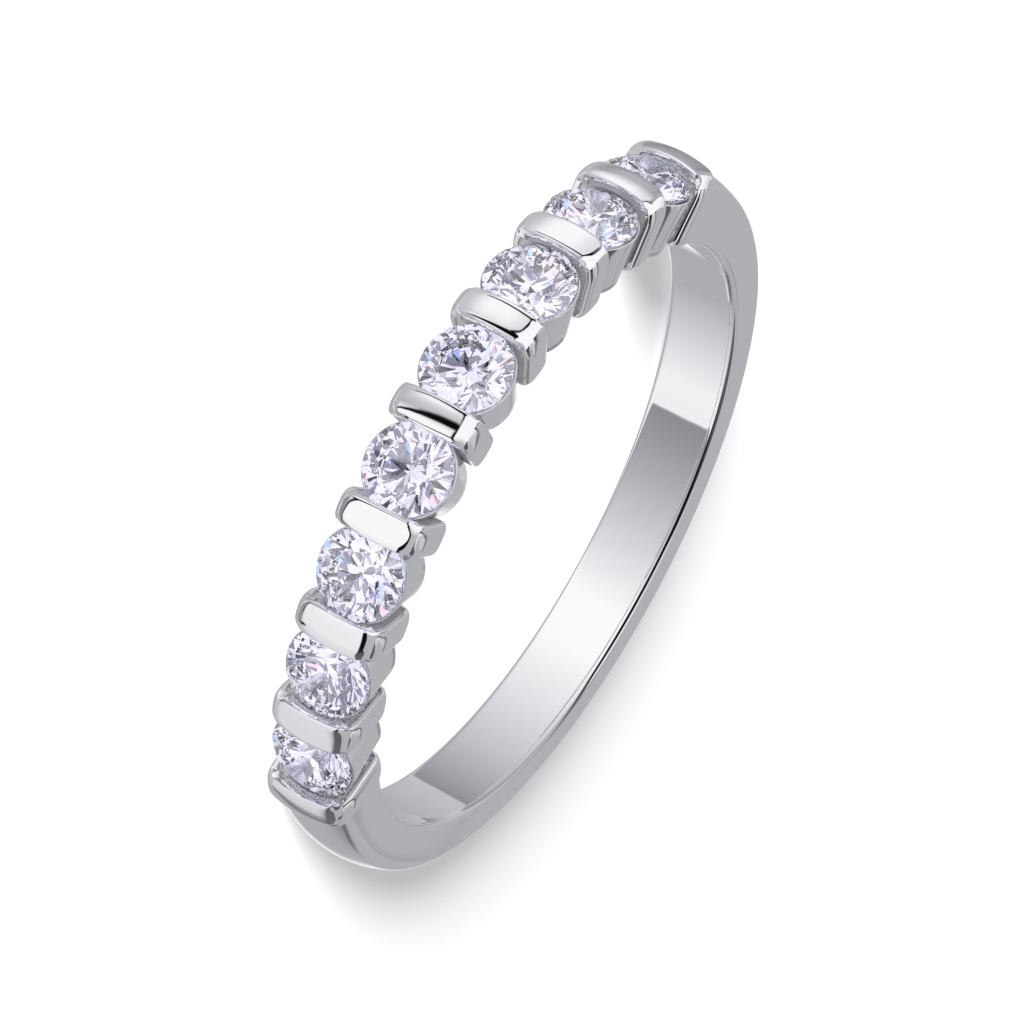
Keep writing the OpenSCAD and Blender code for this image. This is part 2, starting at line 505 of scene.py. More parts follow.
@dataclass
class Shank:
    """Plain part of the band: a round back and the two shoulders that rise to the row.

    The finger hole's rims narrow by `waist` towards the row. This starts at the angle
    `waist_from`, grows over the angle `waist_over`, both in radians, and fades outwards
    over `waist_depth` and inwards over `waist_across`. The section's points stand at
    `wall_shares` of the hole's wall and `side_shares` of the side, and its dome starts
    `dome_gap` degrees past the outer rounding.
    """

    sizes: RingSizes
    back_steps: int = 90
    shoulder_steps: int = 70
    arc_steps: int = 10
    dome_steps: int = 18
    wall_shares: tuple[float, ...] = (0.25, 0.55, 0.8, 0.95, 0.99)
    side_shares: tuple[float, ...] = (0.015, 0.06, 0.3, 0.7, 0.94, 0.985)
    dome_gap: float = 0.4
    shoulder_end: float = -19.9
    waist: float = 0.1
    waist_from: float = 0.9
    waist_over: float = 1.1
    waist_depth: float = 0.8
    waist_across: float = 0.9

    def section(self) -> tuple[Array, Array, Array, Array]:
        """Half of the band's section, from the finger hole's wall to the crown.

        Returns:
            share: 0 on the hole's wall, 1 on the outer face, and between them on the side.
            offset: distance added along the section's depth.
            across: distance from mid width.
            on_rim: whether the point is on the rounded rim of the finger hole.
        """
        s = self.sizes
        half, r_in, r_out = s.band_w / 2, s.bore_round, s.outer_round
        z_out = half - r_out
        x_out = math.sqrt((s.dome_r - r_out) ** 2 - z_out**2) - s.dome_r
        turn = math.degrees(math.atan2(z_out, x_out + s.dome_r))
        wall = np.array(self.wall_shares) * (half - r_in)
        inner = arc_points((r_in, half - r_in), r_in, 180, 90, self.arc_steps)
        side = np.array(self.side_shares)
        outer = arc_points((x_out, z_out), r_out, 90, turn, self.arc_steps)
        dome = arc_points((-s.dome_r, 0), s.dome_r, turn - self.dome_gap, 0, self.dome_steps)
        face = np.concatenate([outer, dome])
        hole = len(wall) + len(inner)
        share = np.concatenate([np.zeros(hole), side, np.ones(len(face))])
        on_rim = np.zeros(len(share), bool)
        on_rim[len(wall):hole + 1] = True
        side_offset = (1 - side) * r_in + side * x_out
        offset = np.concatenate([np.zeros(len(wall)), inner[:, 0], side_offset, face[:, 0]])
        across = np.concatenate([wall, inner[:, 1], np.full(len(side), half), face[:, 1]])
        return share, offset, across, on_rim

    def stations(self) -> tuple[Array, Array, Array]:
        """Places of the sections on one side, from the back's middle to the row.

        The back is an arc about a point just behind the hole's centre. Each shoulder is a
        flatter arc whose centre lies on the line where the two arcs touch.

        Returns:
            centre: centre of the arc that each section belongs to.
            crown: radius of that arc.
            angle: direction of the section from the centre, in radians.
        """
        s = self.sizes
        back_r = s.bore_r + s.back_t + s.side_extra
        back = np.linspace(90, s.shoulder_start, self.back_steps)
        rise = np.linspace(s.shoulder_start, self.shoulder_end, self.shoulder_steps + 1)[1:]
        angle = np.radians(np.concatenate([back, rise]))
        start = math.radians(s.shoulder_start)
        shift = (s.shoulder_r - back_r) * np.array([math.cos(start), math.sin(start)])
        centre = np.zeros((len(angle), 2))
        centre[:, 1] = -s.side_extra
        centre[len(back):] -= shift
        crown = np.where(np.arange(len(angle)) < len(back), back_r, s.shoulder_r)
        return centre, crown, angle

    def build(
        self, finish: bpy.types.Material, rim_finish: bpy.types.Material
    ) -> bpy.types.Object:
        """Carry the section round the hole and make the mesh.

        At each station the hole's wall is where the section's line meets the circle of the
        finger hole: -b + sqrt(b^2 - c) with b the centre's share along the line and
        c the centre's distance squared less the hole's radius squared. The section's inner
        edge narrows by a smooth step towards the shoulders.

        Args:
            finish: metal of the band.
            rim_finish: metal of the finger hole's rounded rims.

        Returns:
            The shank.
        """
        s = self.sizes
        share, offset, across, on_rim = self.section()
        centre, crown, angle = self.stations()
        direction = np.stack([np.cos(angle), np.sin(angle)], -1)
        b = np.sum(centre * direction, 1)
        c = np.sum(centre**2, 1) - s.bore_r**2
        inner = -b + np.sqrt(b**2 - c)
        depth = (1 - share) * inner[:, None] + share * crown[:, None] + offset
        narrow = self.waist * smooth((self.waist_from - angle) / self.waist_over)[:, None]
        from_wall = (depth - inner[:, None]) / self.waist_depth
        off_middle = smooth(across / self.waist_across)
        width = across - narrow * (1 - smooth(from_wall)) * off_middle
        half = np.empty((len(angle), len(share), 3))
        half[..., :2] = centre[:, None, :] + depth[..., None] * direction[:, None, :]
        half[..., 2] = width
        lower = half[:, ::-1, :] * [1, 1, -1]
        right = np.concatenate([half, lower[:, 1:, :]], 1)
        left = right[::-1] * [-1, 1, 1]
        loops = np.concatenate([left[:-1], right], 0)
        poles = (loops[0].mean(0), loops[-1].mean(0))
        rim = np.concatenate([on_rim[::-1], on_rim[1:]])
        slots = np.repeat((rim & np.roll(rim, -1)).astype(int)[None], len(loops) - 1, 0)
        return Loft(loops, poles, slots).build("shank", [finish, rim_finish])


@dataclass
class Bar:
    """Upright bar across the band, with a panel cut back into each flank beside a stone.

    The edge sizes are the depths of the rounding between the outline and the flanks: at
    the top, at its corners, at the ends, at the finger hole, and at the top of a flank
    that meets the shank. A panel has a flat rim round it, with loops at the shares
    `ledge` of its width, and is cut in through the (share, depth) points of `drop`.
    """

    sizes: RingSizes
    number: int
    foot_w: float = 2.1
    top_w: float = 2.28
    swell: float = 0.096
    swell_share: float = 0.67
    corner_r: float = 0.44
    foot_r: float = 0.3
    swell_r: float = 1.2
    dome_r: float = 3.4
    edge_top: float = 0.16
    edge_corner: float = 0.34
    edge_end: float = 0.16
    edge_foot: float = 0.06
    edge_shank: float = 0.3
    fullness: float = 2.8
    foot_sink: float = 0.02
    rim: float = 0.045
    ledge: tuple[float, ...] = (0.15, 0.5, 0.85, 1.0)
    drop: Pairs = ((1.1, 0.003), (1.25, 0.015), (1.7, 0.05), (1.9, 0.06))
    arc_steps: int = 24
    side_steps: int = 12
    steps: int = 168
    turn_steps: int = 21
    turn_power: float = 1.3
    floor_steps: int = 24
    seat_rounds: int = 4
    blend: float = 0.05

    def outline(self) -> tuple[Array, Array]:
        """Outline across the band.

        The top is an arc of the dome's radius between the corners, so its two tangents
        meet above mid width. The foot stands `foot_sink` inside the finger hole's radius,
        and is pushed back to it when the bar is built.

        Returns:
            The points as (across, out), and their outward normals.
        """
        s = self.sizes
        half_top, half_foot = self.top_w / 2, self.foot_w / 2
        lean = math.asin((half_top - self.corner_r) / self.dome_r)
        peak = s.bar_r + self.dome_r * (1 / math.cos(lean) - 1)
        shoulder = peak - half_top * math.tan(lean)
        swell = s.bore_r + self.swell_share * s.bar_h
        foot = s.bore_r - self.foot_sink
        right = [(half_foot, foot), (half_top + self.swell, swell), (half_top, shoulder)]
        left = [(-across, out) for across, out in reversed(right)]
        radii = [self.foot_r, self.swell_r, self.corner_r]
        points, _ = rounded_outline(
            [*right, (0, peak), *left],
            [*radii, self.dome_r, *reversed(radii)],
            self.arc_steps,
            np.linspace(0, 1, self.side_steps)[1:-1],
        )
        return evened(points, self.steps, self.blend)

    def seat(self, points: Array, along: Array) -> Array:
        """How far along the row a flank may reach before it enters the space round the stone.

        The space is a double cone about the stone's axis, which leans from the bar by half
        the pitch angle. At each point the radius r of the cones at its height gives the
        place where the distance from the axis, in the plane of the row, is
        sqrt(r^2 - across^2), found by a few rounds of substitution.

        Args:
            points: (across, out) points on the flank.
            along: the flank's own place along the row at those points.

        Returns:
            The smaller of the flank's place and the seat's, at each point.
        """
        s = self.sizes
        lean = math.radians(s.pitch_angle / 2)
        x0, z0 = s.girdle_r * math.sin(lean), s.girdle_r * math.cos(lean)
        girdle, half = s.stone_d / 2 + s.seat_gap, s.girdle_t / 2 + s.seat_gap
        crown, pavilion = (math.tan(math.radians(v)) for v in (s.crown_angle, s.pavilion_angle))
        across, out = points[..., 0], points[..., 1]
        place = np.array(along)
        for _ in range(self.seat_rounds):
            height = (place - x0) * math.sin(lean) + (out - z0) * math.cos(lean)
            over = np.abs(height) - half
            slope = np.where(height > 0, crown, pavilion)
            radius = np.where(over > 0, girdle - over / slope, girdle)
            inside = np.sqrt(np.maximum(radius**2 - across**2, 0))
            cut = x0 - inside / math.cos(lean) + (out - z0) * math.tan(lean)
            place = np.where((radius > 0) & (inside > 0), np.minimum(along, cut), along)
        return place

    def edges(self, normals: Array, top: float) -> Array:
        """Depth of the rounding round the outline.

        The depths at the top, the foot and the ends are blended by the fourth power of the
        normal's height, and where the normal is slanted upwards the depth rises to that of
        the corners.

        Args:
            normals: outline normals.
            top: depth at the top.

        Returns:
            The depth at each point.
        """
        level = normals[:, 1] ** 4
        corner = 4 * (normals[:, 0] * np.maximum(normals[:, 1], 0)) ** 2
        upright = np.where(normals[:, 1] > 0, top, self.edge_foot)
        depth = upright * level + self.edge_end * (1 - level)
        return depth * (1 - corner) + np.maximum(depth, self.edge_corner) * corner

    def flank(
        self, points: Array, normals: Array, edge: Array, carved: bool
    ) -> tuple[Array, Array]:
        """Loops of one flank, from the middle of the bar out to the flank's centre.

        From the middle to the flank the skin follows a superellipse
        (place / half thickness)^n + (1 - inset / edge)^n = 1 with n the fullness, sampled by
        its slope: the two terms' bases are as (half thickness * sin a)^(1 / (n - 1)) to
        (edge * cos a)^(1 / (n - 1)) where the skin has turned by a. A carved flank then has
        a flat rim, a short wall down to the panel, and the panel with the seat cut into it.

        Args:
            points: outline points.
            normals: outline normals.
            edge: depth of the rounding at each outline point.
            carved: whether the flank has a panel.

        Returns:
            The loops as (along, across, out), and the material index of the band that
            starts at each loop.
        """
        t, n = self.sizes.bar_t / 2, self.fullness
        turn = math.pi / 2 * np.linspace(0, 1, self.turn_steps)[:, None] ** self.turn_power
        wide = (t * np.sin(turn)) ** (1 / (n - 1))
        deep = (edge * np.maximum(np.cos(turn), 0)) ** (1 / (n - 1))
        size = (wide**n + deep**n) ** (1 / n)
        ledge = [(share, 0.0) for share in self.ledge]
        if carved:
            ledge += self.drop
        share, depth = np.array(ledge).T[..., None]
        inset = edge * (1 - deep / size)
        inset = np.concatenate([inset, inset[-1] + self.rim * share])
        place = np.concatenate([t * wide / size, np.repeat(t - depth, len(edge), 1)])
        flat = points[None] - inset[..., None] * normals[None]
        rim_loops = np.concatenate([place[..., None], flat], -1)
        centre = np.array([0.0, flat[-1][:, 1].mean()])
        shares = np.linspace(0, 1, self.floor_steps + 2)[1:-1, None, None]
        floor = flat[-1][None] * (1 - shares) + centre * shares
        along = np.full(floor.shape[:-1], place[-1].mean())
        if carved:
            along = self.seat(floor, along)
        floor_loops = np.concatenate([along[..., None], floor], -1)
        loops = np.concatenate([rim_loops, floor_loops], 0)
        slots = np.zeros(len(loops), int)
        if carved:
            slots[len(rim_loops) - len(self.drop) + 1:] = 1
        return loops, slots

    def build(self, polished: bpy.types.Material, panel: bpy.types.Material) -> bpy.types.Object:
        """Join the two flanks into one closed bar and turn it to its place.

        A flank that meets the shank is plain. Points inside the finger hole are moved
        straight out from its axis onto its wall.

        Args:
            polished: metal of the bar.
            panel: metal of the panels.

        Returns:
            The bar.
        """
        s = self.sizes
        points, normals = self.outline()
        flanks = []
        for plain in (self.number == 1, self.number == s.stone_count + 1):
            edge = self.edges(normals, self.edge_shank if plain else self.edge_top)
            flanks.append(self.flank(points, normals, edge, not plain))
        (plus, plus_slots), (minus, minus_slots) = flanks
        loops = np.concatenate([minus[:0:-1] * [-1, 1, 1], plus], 0)
        slots = np.concatenate([minus_slots[::-1], plus_slots])[1:-1, None]
        reach = np.hypot(loops[..., 0], loops[..., 2])
        sink = np.maximum(s.bore_r / reach, 1.0)[..., None]
        loops = loops * np.where([True, False, True], sink, 1.0)
        ends = (loops[0].mean(0), loops[-1].mean(0))
        angle = s.bar_angle(self.number)
        slots = np.repeat(slots, loops.shape[1], 1)
        loft = Loft(on_row(loops, angle), tuple(on_row(e, angle) for e in ends), slots)
        return loft.build(f"bar_{self.number}", [polished, panel])


@dataclass
class Cup:
    """Tapered cup under a stone, with the stone's seat cut into it.

    The foot's loops stand at `foot_shares` of its radius, and those of the seat's cone
    between the two shares of `seat_reach` down its depth. The wall's line starts
    `foot_rise` above the finger hole's wall, the rounding of the lip starts at the angle
    `lip_from`, and `lip_edge` is the size of the bevel inside it.
    """

    sizes: RingSizes
    number: int
    over: float = 0.06
    foot_r: float = 0.96
    foot_shares: tuple[float, ...] = (0.25, 0.5, 0.75, 0.92, 0.98)
    foot_rise: float = 0.01
    lip: float = 0.02
    lip_from: float = 12.0
    lip_edge: float = 0.004
    seat_reach: tuple[float, float] = (0.02, 0.98)
    turn_steps: int = 96
    wall_steps: int = 8
    lip_steps: int = 5
    seat_steps: int = 12

    def build(self, polished: bpy.types.Material) -> bpy.types.Object:
        """Turn the cup's profile about the stone's axis.

        The profile runs from the foot's middle, along the finger hole's wall, up the
        tapering wall, over a small rounded lip and down the seat's cone to its point. The
        foot's points are set on the hole's wall: out = sqrt(hole radius^2 - along^2).

        Args:
            polished: metal of the cup.

        Returns:
            The cup.
        """
        s = self.sizes
        top = s.girdle_r - s.girdle_t / 2 - s.seat_gap
        rim_r = s.stone_d / 2 + self.over
        seat_r = s.stone_d / 2 + s.seat_gap
        depth = seat_r * math.tan(math.radians(s.pavilion_angle))
        foot = [[self.foot_r * share, s.bore_r] for share in self.foot_shares]
        wall_foot, wall_top = s.bore_r + self.foot_rise, top - self.lip
        wall = np.linspace((self.foot_r, wall_foot), (rim_r, wall_top), self.wall_steps)
        lip = arc_points((rim_r - self.lip, wall_top), self.lip, self.lip_from, 90, self.lip_steps)
        edge = self.lip_edge
        lip_in = [[seat_r + edge, top], [seat_r - edge, top - edge]]
        sunk = np.linspace(*self.seat_reach, self.seat_steps)
        cone = np.stack([seat_r * (1 - sunk), top - depth * sunk], -1)
        profile = np.concatenate([foot, wall, lip, lip_in, cone], 0)
        turn = np.radians(np.linspace(0, 360, self.turn_steps, endpoint=False))
        along = profile[:, None, 0] * np.cos(turn)
        across = profile[:, None, 0] * np.sin(turn)
        out = np.repeat(profile[:, 1:], len(turn), 1)
        base = np.sqrt(s.bore_r**2 - along**2)
        out = np.where(np.arange(len(profile))[:, None] < len(foot) + 1, base, out)
        loops = np.stack([along, across, out], -1)
        poles = (np.array([0, 0, s.bore_r]), np.array([0, 0, top - depth]))
        angle = s.stone_angle(self.number)
        loft = Loft(on_row(loops, angle), tuple(on_row(p, angle) for p in poles))
        return loft.build(f"cup_{self.number}", [polished])


@dataclass
class Brilliant:
    """Round brilliant: a table, 8 star, 8 kite and 16 half facets over a scalloped girdle,
    and 16 half and 8 main facets under it."""

    sizes: RingSizes
    number: int
    table_share: float = 0.57
    star_share: float = 0.5
    lower_share: float = 0.77
    arc_steps: int = 6

    def build(self, finish: bpy.types.Material) -> bpy.types.Object:
        """Place the facets' corners and make the mesh.

        Kite facets lean by the crown angle and main facets by the pavilion angle. A star
        point lies on two kites, so its height is (girdle radius - its reach towards a
        kite's middle) * tan(crown angle). Each half facet is the flat through a girdle
        corner, the next one and a star or lower point, so its edge on the girdle dips
        between the corners by slope * (chord's reach less the arc's).

        Args:
            finish: the stone's material.

        Returns:
            The stone.
        """
        s = self.sizes
        r, half = s.stone_d / 2, s.girdle_t / 2
        eighth, step = math.pi / 4, math.pi / 8
        tan_crown = math.tan(math.radians(s.crown_angle))
        tan_pavilion = math.tan(math.radians(s.pavilion_angle))
        table_r = r * self.table_share
        table_h = half + (r - table_r) * tan_crown
        star_edge = table_r * math.cos(step)
        star_r = star_edge + (r - star_edge) * self.star_share
        star_h = half + (r - star_r * math.cos(step)) * tan_crown
        lower_r = r * (1 - self.lower_share)
        culet = r * tan_pavilion
        lower_h = -half - culet + lower_r * math.cos(step) * tan_pavilion

        n = self.arc_steps * 16
        corner = np.arange(8) * eighth
        way = np.arange(n) * (2 * math.pi / n)
        middle = (np.floor(way / step + 1e-9) + 0.5) * step
        quarter = math.cos(step / 2)
        chord = r * quarter
        dip = r * np.cos(way - middle) - chord
        upper_slope = (star_h - half) / (chord - star_r * quarter)
        lower_slope = (-half - lower_h) / (chord - lower_r * quarter)
        rings = (
            (table_r, corner, table_h),
            (star_r, corner + step, star_h),
            (r, way, half - upper_slope * dip),
            (r, way, -half + lower_slope * dip),
            (lower_r, corner + step, lower_h),
        )
        points = [
            np.stack(np.broadcast_arrays(radius * np.cos(a), radius * np.sin(a), height), -1)
            for radius, a, height in rings
        ]
        points = np.concatenate([*points, [[0, 0, -half - culet]]])
        table, star, top, low, point, tip = 0, 8, 16, 16 + n, 16 + 2 * n, 24 + 2 * n
        k = np.arange(8)
        nxt = (k + 1) % 8
        at = 2 * self.arc_steps * k
        girdle = np.arange(n)
        turn = np.roll(girdle, -1)
        arc = np.arange(self.arc_steps + 1)
        first = (at[:, None] + arc) % n
        second = (at[:, None] + self.arc_steps + arc) % n
        faces = [
            (table + k)[None, :],
            np.stack([table + k, star + k, table + nxt], -1),
            np.stack([table + k, star + np.roll(k, 1), top + at, star + k], -1),
            np.concatenate([star + k[:, None], top + first], 1),
            np.concatenate([star + k[:, None], top + second], 1),
            np.stack([top + girdle, low + girdle, low + turn, top + turn], -1),
            np.concatenate([point + k[:, None], (low + first)[:, ::-1]], 1),
            np.concatenate([point + k[:, None], (low + second)[:, ::-1]], 1),
            np.stack([np.full(8, tip), point + k, low + at, point + np.roll(k, 1)], -1),
        ]
        points[:, 2] += s.girdle_r
        placed = on_row(points, s.stone_angle(self.number))
        return mesh_object(f"brilliant_{self.number}", placed, faces, [finish])


# Studio


@dataclass(frozen=True)
class Viewpoint:
    """The photograph's camera, as fitted to the ring.

    The azimuth counts from the row's side, and the distance from the finger hole's centre.
    `clip` holds the nearest and the farthest place that is seen, in metres.
    """

    azimuth: float = 6.4263
    elevation: float = 18.4824
    roll: float = 117.9522
    distance: float = 101.433
    lens: float = 132.648
    sensor: float = 36.0
    shift: tuple[float, float] = (-0.019885, 0.010822)
    clip: tuple[float, float] = (0.005, 20.0)

    def build(self) -> bpy.types.Object:
        """Make the camera and look through it.

        Returns:
            The camera.
        """
        a, e, r = (math.radians(v) for v in (self.azimuth, self.elevation, self.roll))
        back = Vector((math.sin(a) * math.cos(e), -math.cos(a) * math.cos(e), math.sin(e)))
        right = Vector((math.cos(a), math.sin(a), 0.0))
        up = back.cross(right)
        u = right * math.cos(r) + up * math.sin(r)
        v = right * math.sin(r) - up * math.cos(r)
        turn = Matrix((u, -v, back)).transposed().to_4x4()
        data = bpy.data.cameras.new("camera")
        data.sensor_width = self.sensor
        data.lens = self.lens
        data.shift_x, data.shift_y = self.shift
        data.clip_start, data.clip_end = self.clip
        camera = bpy.data.objects.new("camera", data)
        camera.matrix_world = Matrix.Translation(back * self.distance * MM) @ turn
        bpy.context.scene.collection.objects.link(camera)
        bpy.context.scene.camera = camera
        return camera


@dataclass(frozen=True)
class Fade:
    """Stretch of a light card, between two azimuths, whose tone runs from one to another."""

    start: float
    stop: float
    tone_from: float
    tone_to: float
    power: float = 1.0

    def tone(self, at: Array) -> Array:
        """Tone at a place: to + (from - to) * (1 - share of the stretch) ** power."""
        share = np.clip((at - self.start) / (self.stop - self.start), 0, 1)
        return self.tone_to + (self.tone_from - self.tone_to) * (1 - share) ** self.power


def along_fades(fades: Sequence[Fade], at: Array, soft: float) -> Array:
    """Tones of stretches that lie end to end.

    Args:
        fades: the stretches, in order.
        at: azimuth of each place.
        soft: width over which the step between two stretches is softened.

    Returns:
        The tone at each place.
    """
    tone = fades[0].tone(at)
    for fade in fades[1:]:
        tone = mixed(tone, fade.tone(at), smooth((at - fade.start) / soft + 0.5))
    return tone


@dataclass(frozen=True)
class Ramp:
    """Smooth rise from nothing at `start` to `rise` at `start + over`; `over` may be negative."""

    start: float
    over: float
    rise: float = 1.0

    def at(self, place: Array) -> Array:
        """Height of the ramp: rise * smooth step of (place - start) / over."""
        return self.rise * smooth((place - self.start) / self.over)


@dataclass(frozen=True)
class Patch:
    """Soft-edged part of a light card, where all its ramps have risen."""

    along: tuple[Ramp, Ramp]
    upward: tuple[Ramp, Ramp]

    def cover(self, angle: Array, height: Array) -> Array:
        """How much of the patch is at each place: the product of its ramps.

        Args:
            angle: azimuth of each place.
            height: height of each place.

        Returns:
            The share, from 0 to 1.
        """
        sides = self.along[0].at(angle) * self.along[1].at(angle)
        return sides * self.upward[0].at(height) * self.upward[1].at(height)


def mixed(below: Array | float, above: Array | float, share: Array) -> Array:
    """Mix of two tones: below * (1 - share) + above * share.

    Args:
        below: tone where the share is 0.
        above: tone where the share is 1.
        share: share of the second tone.

    Returns:
        The mixed tone.
    """
    return below * (1 - share) + above * share


def card_light(name: str) -> bpy.types.Material:
    """Make the material of a glowing card, whose brightness is its mesh's tone attribute.

    Args:
        name: material's name.

    Returns:
        The material.
    """
    mat = bpy.data.materials.new(name)
    mat.use_nodes = True
    tree = mat.node_tree
    tree.nodes.remove(tree.nodes["Principled BSDF"])
    glow = tree.nodes.new("ShaderNodeEmission")
    tone = tree.nodes.new("ShaderNodeAttribute")
    tone.attribute_name = "tone"
    tree.links.new(tone.outputs["Color"], glow.inputs["Color"])
    tree.links.new(glow.outputs["Emission"], tree.nodes["Material Output"].inputs["Surface"])
    mat.cycles.emission_sampling = "NONE"
    return mat


def sheet(name: str, points: Array, material: bpy.types.Material) -> bpy.types.Object:
    """Make a sheet of quads over a grid of points.

    Args:
        name: object's name.
        points: array of (row, column, xyz), in millimetres.
        material: the sheet's material.

    Returns:
        The sheet.
    """
    index = np.arange(points[..., 0].size).reshape(points.shape[:2])
    quads = np.stack([index[:-1, :-1], index[:-1, 1:], index[1:, 1:], index[1:, :-1]], -1)
    return mesh_object(name, points.reshape(-1, 3), [quads.reshape(-1, 4)], [material])


def light_card(name: str, points: Array, tone: Array) -> bpy.types.Object:
    """Card that only polished metal and stones see.

    Args:
        name: object's name.
        points: grid of points, in millimetres.
        tone: brightness at each point.

    Returns:
        The card, marked as part of the stage.
    """
    card = sheet(name, points, card_light(name))
    level = tone.reshape(points[..., 0].size, -1)
    colour = np.ones((len(level), 4), np.float32)
    colour[:, :3] = level * (1 + np.array(COOL) * np.clip(1 - level, 0, 1))
    layer = card.data.attributes.new("tone", "FLOAT_COLOR", "POINT")
    layer.data.foreach_set("color", colour.ravel())
    card.visible_camera = card.visible_diffuse = card.visible_shadow = False
    card.visible_transmission = False
    card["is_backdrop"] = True
    return card


def around(angle: Array, radius: Array | float, height: Array | float) -> Array:
    """Points round the ring: (radius * sin a, -radius * cos a, height) for azimuth a.

    Args:
        angle: azimuth from the row's side, in degrees.
        radius: distance from the finger hole's axis.
        height: height over the ring's middle plane.

    Returns:
        The points, with xyz along a last axis.
    """
    a = np.radians(angle)
    return np.stack(np.broadcast_arrays(radius * np.sin(a), -radius * np.cos(a), height), -1)


@dataclass
class Dome:
    """Big tent round the ring: pale at ring height, with a dark canopy over the row's side.

    Azimuths and heights are in degrees. The canopy lies between the (azimuth, height)
    points of `dark_from` and `dark_to`, and the sky over it. `shade` holds the (height,
    tone) points of a card beside the shank, and `gleam` is the tone of a bright card
    behind it, whose azimuths run from 0 to 360.
    """

    radius: float = 600.0
    steps: tuple[int, int] = (721, 241)
    seam: float = 1.2
    horizon: tuple[Fade, ...] = (
        Fade(-180, -150, 0.46, 0.46),
        Fade(-150, -118, 0.46, 0.58),
        Fade(-118, -28, 0.29, 1.02),
        Fade(-28, -8, 1.02, 1.02),
        Fade(-8, 70, 1.02, 0.29, 1.4),
        Fade(70, 84, 0.92, 0.94),
        Fade(84, 140, 0.94, 0.42, 1.3),
        Fade(140, 180, 0.42, 0.46),
    )
    dark_from: Pairs = (
        (-180, 22), (-170, 38), (-150, 60), (-120, 67), (-90, 68), (-60, 61), (-40, 49),
        (-20, 41), (0, 38), (150, 38), (165, 60), (180, 80),
    )
    dark_to: Pairs = (
        (-180, 26), (-170, 42), (-150, 63), (-120, 71), (-90, 74), (-60, 79), (-30, 81),
        (135, 81), (150, 67), (162, 52), (180, 50),
    )
    low_edge: Ramp = Ramp(-7, 9)
    high_edge: Ramp = Ramp(-2, 4)
    canopy: float = 0.008
    canopy_side: Ramp = Ramp(80, 30, 0.09)
    canopy_back: Ramp = Ramp(145, 25, 0.16)
    sky: float = 0.9
    sky_back: Ramp = Ramp(140, 25, -0.3)
    shade: Pairs = (
        (-40, 0.44), (-20, 0.46), (-8, 0.42), (0, 0.28), (8, 0.14), (16, 0.2), (24, 0.42),
    )
    shade_reach: Patch = Patch((Ramp(128, 10), Ramp(160, -14)), (Ramp(-45, 8), Ramp(26, -6)))
    gleam: float = 0.95
    gleam_reach: Patch = Patch((Ramp(161, 12), Ramp(199, -12)), (Ramp(-36, 8), Ramp(-3, -8)))

    def build(self) -> bpy.types.Object:
        """Paint the tent's tones on a sphere, from the horizon to the cards before it.

        Returns:
            The dome.
        """
        columns, rows = self.steps
        angle, height = np.meshgrid(np.linspace(-180, 180, columns), np.linspace(-90, 90, rows))
        back = np.abs(angle)
        canopy = self.canopy + self.canopy_side.at(angle) + self.canopy_back.at(back)
        above = height - np.interp(angle, *np.transpose(self.dark_to))
        sky = mixed(canopy, self.sky + self.sky_back.at(back), self.high_edge.at(above))
        above = height - np.interp(angle, *np.transpose(self.dark_from))
        level = along_fades(self.horizon, angle, self.seam)
        tone = mixed(level, sky, self.low_edge.at(above))
        shade = np.interp(height, *np.transpose(self.shade))
        tone = mixed(tone, shade, self.shade_reach.cover(angle, height))
        tone = mixed(tone, self.gleam, self.gleam_reach.cover(angle % 360, height))
        flat = self.radius * np.cos(np.radians(height))
        points = around(angle, flat, self.radius * np.sin(np.radians(height)))
        return light_card("tent_dome", points, tone)


@dataclass(frozen=True)
class Flag:
    """Dark strip hung before a light card, along a line of (azimuth, height) points."""

    line: Pairs
    width_from: float
    width_to: float
    soft: float = 0.14
    tone: float = 0.004

    def cover(self, along: Array, height: Array, degree: float) -> Array:
        """How much of the card the strip hides at each place, from 0 to 1.

        The distance to the strip's line is the least of the distances to its straight
        parts, and the strip's width runs evenly from its first end to its last.

        Args:
            along: azimuth of each place.
            height: height of each place.
            degree: length of one degree on the card.

        Returns:
            The share hidden at each place.
        """
        points = np.array(self.line) * [degree, 1.0]
        steps = np.linalg.norm(np.diff(points, axis=0), axis=1)
        done = np.concatenate([[0.0], np.cumsum(steps)]) / steps.sum()
        place = np.stack([along * degree, height], -1)
        hidden = np.zeros_like(height)
        for k, step in enumerate(steps):
            way = points[k + 1] - points[k]
            share = np.clip((place - points[k]) @ way / step**2, 0, 1)
            reach = np.linalg.norm(place - points[k] - share[..., None] * way, axis=-1)
            travelled = done[k] * (1 - share) + done[k + 1] * share
            half = (self.width_from * (1 - travelled) + self.width_to * travelled) / 2
            hidden = np.maximum(hidden, 1 - smooth((reach - half) / self.soft + 0.5))
        return hidden


